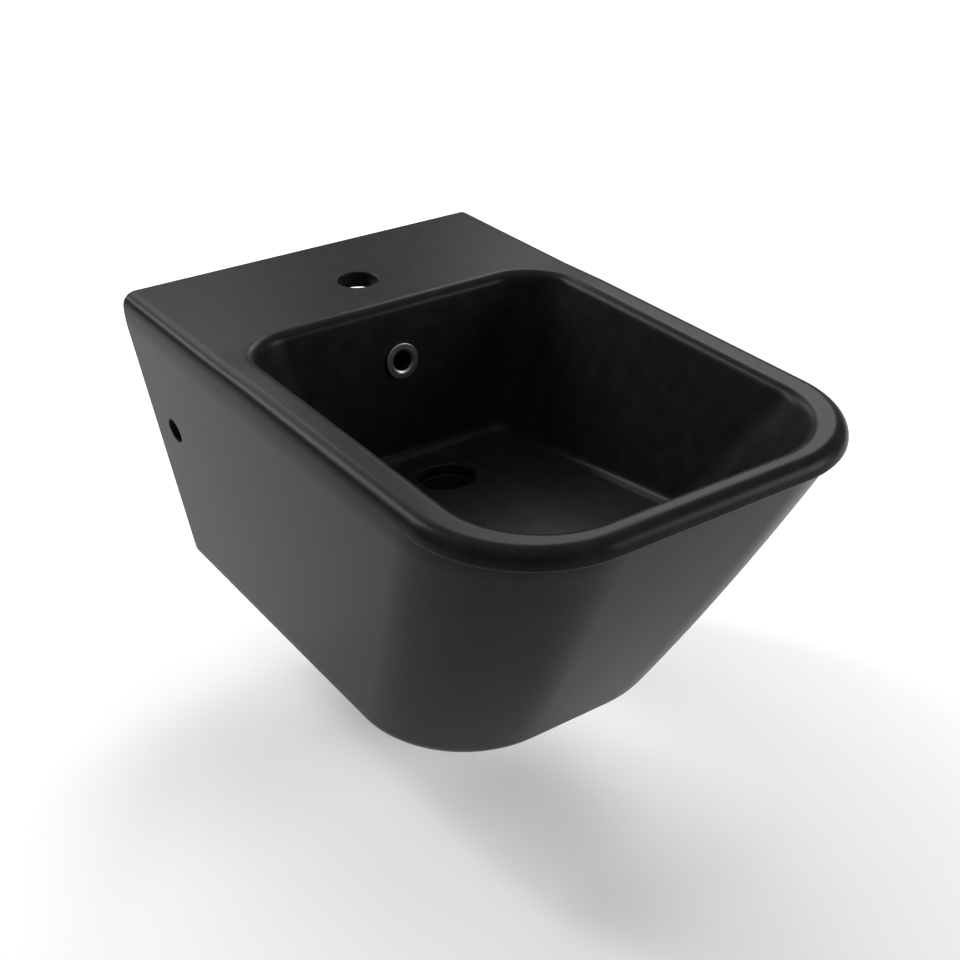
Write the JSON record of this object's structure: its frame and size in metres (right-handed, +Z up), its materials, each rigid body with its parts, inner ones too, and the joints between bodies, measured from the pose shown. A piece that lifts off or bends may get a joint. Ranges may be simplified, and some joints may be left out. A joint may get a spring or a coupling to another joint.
{
  "type": "wall-hung bidet",
  "caption": "Wall-hung bidet in semi-matt black ceramic: square-fronted rolled rim, sloping skirt, one tap hole, overflow trim ring, recessed drain and concealed wall fixings.",
  "frame": {"origin": "on the wall face, midway between the two wall studs", "axes": "+X to the right seen from the front, +Y into the wall, +Z up; the front faces -Y"},
  "size_m": [0.366, 0.6165, 0.29],
  "materials": {
    "black_glaze": "semi-matt black glaze",
    "ring_metal": "dark polished metal",
    "seal_rubber": "matt",
    "zinc_steel": "bright zinc plate",
    "bracket_steel": "dull zinc plate",
    "bush_nylon": "matt moulded nylon",
    "screw_steel": "blackened steel"
  },
  "bodies": {
    "root": {"ceramic_body": "black_glaze", "overflow_ring": "ring_metal", "overflow_seal": "seal_rubber", "left_wall_stud": "zinc_steel", "left_stud_washer": "zinc_steel", "left_stud_nut": "zinc_steel", "left_fixing_bracket": "bracket_steel", "left_clamp_nut": "bracket_steel", "left_clamp_bush": "bush_nylon", "left_clamp_screw": "screw_steel", "right_wall_stud": "zinc_steel", "right_stud_washer": "zinc_steel", "right_stud_nut": "zinc_steel", "right_fixing_bracket": "bracket_steel", "right_clamp_nut": "bracket_steel", "right_clamp_bush": "bush_nylon", "right_clamp_screw": "screw_steel"}
  },
  "joints": []
}
